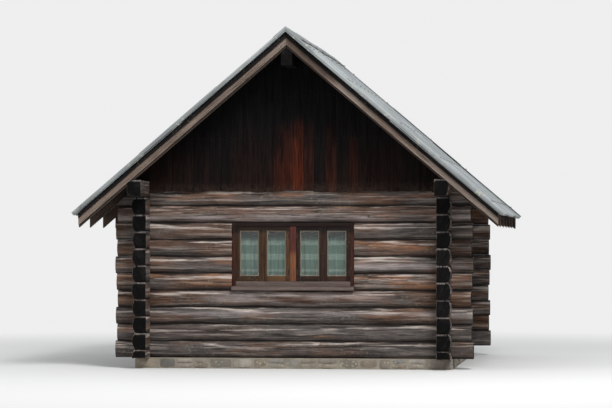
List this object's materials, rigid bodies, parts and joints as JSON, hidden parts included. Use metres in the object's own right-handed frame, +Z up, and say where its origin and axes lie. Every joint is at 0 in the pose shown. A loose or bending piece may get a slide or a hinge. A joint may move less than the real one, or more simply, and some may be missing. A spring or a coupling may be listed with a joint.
{
  "type": "log cabin",
  "caption": "Small log cabin with saddle-notched corners, a gabled sheet roof on rafters, a low front window and a plank door behind.",
  "frame": {"origin": "on the ground, under the middle of the roof's length and width", "axes": "+Z up, +X to the right seen from the window gable, +Y from the window gable to the door gable along the ridge"},
  "size_m": [5.4758, 5.411, 4.3326],
  "materials": {
    "footing_stone": "weathered mortared stone",
    "wall_logs": "dark weathered hewn wood",
    "floor_wood": "worn planks",
    "window_wood": "worn red-brown stain",
    "window_glass": "old clear glass",
    "curtain_rod": "aged paint",
    "curtain_cloth": "thin pale cotton",
    "door_wood": "weathered stained planks",
    "door_iron": "rusty black iron",
    "roof_timber": "dark aged timber",
    "gable_wood": "nearly black boards with red-brown streaks",
    "roof_sheet": "weathered pale grey fibre-cement",
    "barge_wood": "sun-bleached brown board",
    "trim_wood": "dark board"
  },
  "bodies": {
    "root": {"footing_front": "footing_stone", "footing_back": "footing_stone", "footing_left": "footing_stone", "footing_right": "footing_stone", "front_logs_low": "wall_logs", "front_logs_left_of_window": "wall_logs", "front_logs_right_of_window": "wall_logs", "front_logs_high": "wall_logs", "back_logs_low": "wall_logs", "back_logs_left_of_door": "wall_logs", "back_logs_right_of_door": "wall_logs", "back_log_high": "wall_logs", "left_wall_logs": "wall_logs", "right_wall_logs": "wall_logs", "left_wall_plate": "wall_logs", "right_wall_plate": "wall_logs", "floor_joists": "floor_wood", "floor_boards": "floor_wood", "window_sill": "window_wood", "window_frame": "window_wood", "window_sashes": "window_wood", "window_glass": "window_glass", "curtain_rod": "curtain_rod", "window_curtains": "curtain_cloth", "door_frame": "door_wood", "door_leaf": "door_wood", "door_hinges": "door_iron", "door_handle": "door_iron", "front_gable_posts": "roof_timber", "back_gable_posts": "roof_timber", "front_gable_boards": "gable_wood", "back_gable_boards": "gable_wood", "ridge_beam": "roof_timber", "rafters_left": "roof_timber", "rafters_right": "roof_timber", "roof_boarding_left": "roof_timber", "roof_boarding_right": "roof_timber", "roof_sheets_left": "roof_sheet", "roof_sheets_right": "roof_sheet", "verge_caps": "roof_sheet", "ridge_cap": "roof_sheet", "front_barge_boards": "barge_wood", "back_barge_boards": "barge_wood", "front_verge_trims": "trim_wood", "back_verge_trims": "trim_wood"}
  },
  "joints": []
}
